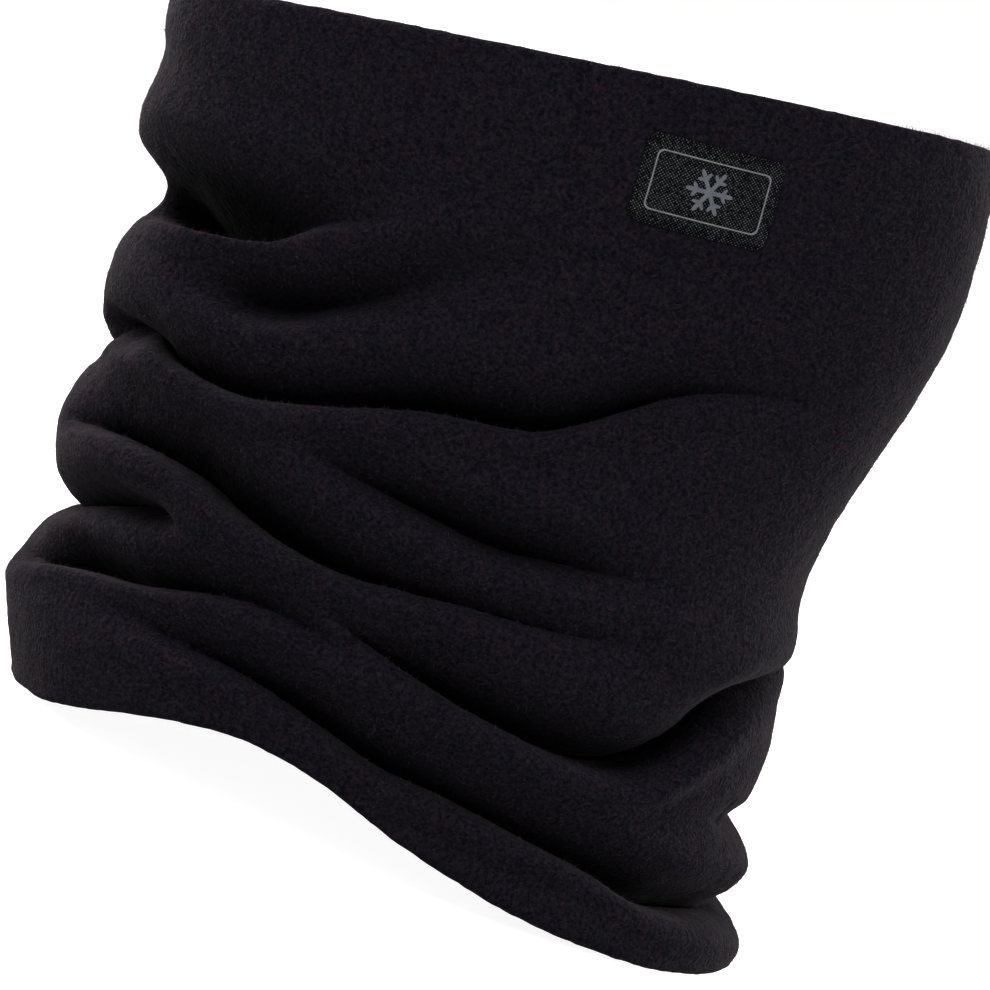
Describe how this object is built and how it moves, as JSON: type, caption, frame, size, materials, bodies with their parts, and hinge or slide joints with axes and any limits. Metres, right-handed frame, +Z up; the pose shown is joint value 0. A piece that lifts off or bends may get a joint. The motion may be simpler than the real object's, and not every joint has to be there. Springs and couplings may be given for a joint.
{
  "type": "neck gaiter",
  "caption": "Slouching two-layer fleece neck tube that stands open on its bottom edge, with a small woven patch and a care label inside.",
  "frame": {"origin": "middle of the footprint box, on the ground that the gaiter stands on", "axes": "+X towards the wearer's left side of the worn front, which is the right side seen from the front; -Y faces the front, where the patch is; +Z up through the neck opening"},
  "size_m": [0.2279, 0.1468, 0.2229],
  "materials": {
    "outer_fleece": "matt pile fleece",
    "lining_fleece": "matt pile fleece",
    "thread": "matt sewing thread",
    "adhesive": "matt heat-set film",
    "woven_patch": "fine black plain weave",
    "grey_print": "matt screen print",
    "label_satin": "satin ribbon",
    "label_thread": "matt sewing thread"
  },
  "bodies": {
    "gaiter": {"outer_shell": "outer_fleece", "inner_lining": "lining_fleece", "outer_back_seam": "thread", "lining_back_seam": "thread", "top_edge_seam": "thread", "bottom_edge_seam": "thread", "patch_adhesive_film": "adhesive", "patch_base": "woven_patch", "patch_border_print": "grey_print", "patch_emblem_print": "grey_print", "care_label_stitch": "label_thread"},
    "care_label": {"care_label": "label_satin"}
  },
  "joints": [
    {"name": "care_label_swing", "type": "hinge", "parent": "gaiter", "child": "care_label", "pos_m": [-0.0055, 0.054, 0.16], "axis": [0, 0, -1], "range_deg": [0, 160]}
  ]
}
